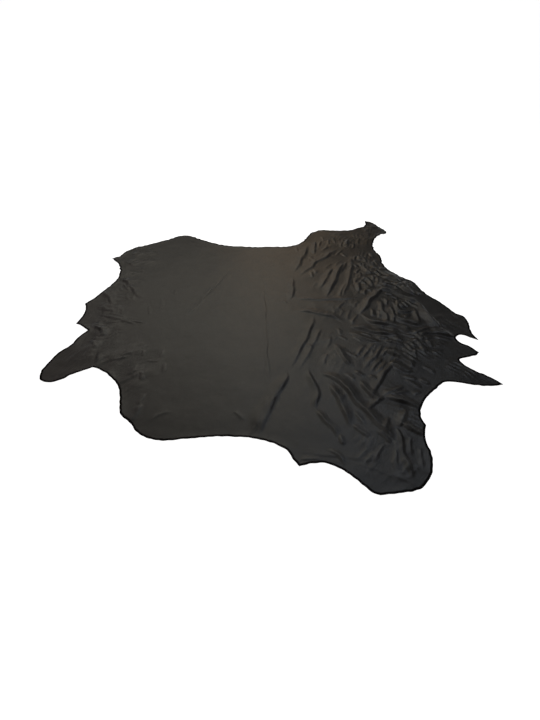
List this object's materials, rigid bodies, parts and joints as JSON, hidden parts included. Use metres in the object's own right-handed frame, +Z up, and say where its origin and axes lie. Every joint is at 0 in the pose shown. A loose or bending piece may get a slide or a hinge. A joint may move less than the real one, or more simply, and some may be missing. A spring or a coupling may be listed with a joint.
{
  "type": "leather hide laid flat",
  "caption": "Whole dark upholstery hide, trimmed to its natural outline, laid flat with soft folds and wrinkles over the neck and shoulders.",
  "frame": {"origin": "on the surface the hide lies on, under the middle of the outline's box", "axes": "+X along the spine to the neck, +Y across it to the far shanks, +Z up, through the thickness"},
  "size_m": [2.4998, 2.74, 0.0278],
  "materials": {
    "leather": "semi-matt finished grain, dark brown-black"
  },
  "bodies": {
    "root": {"hide": "leather"}
  },
  "joints": []
}
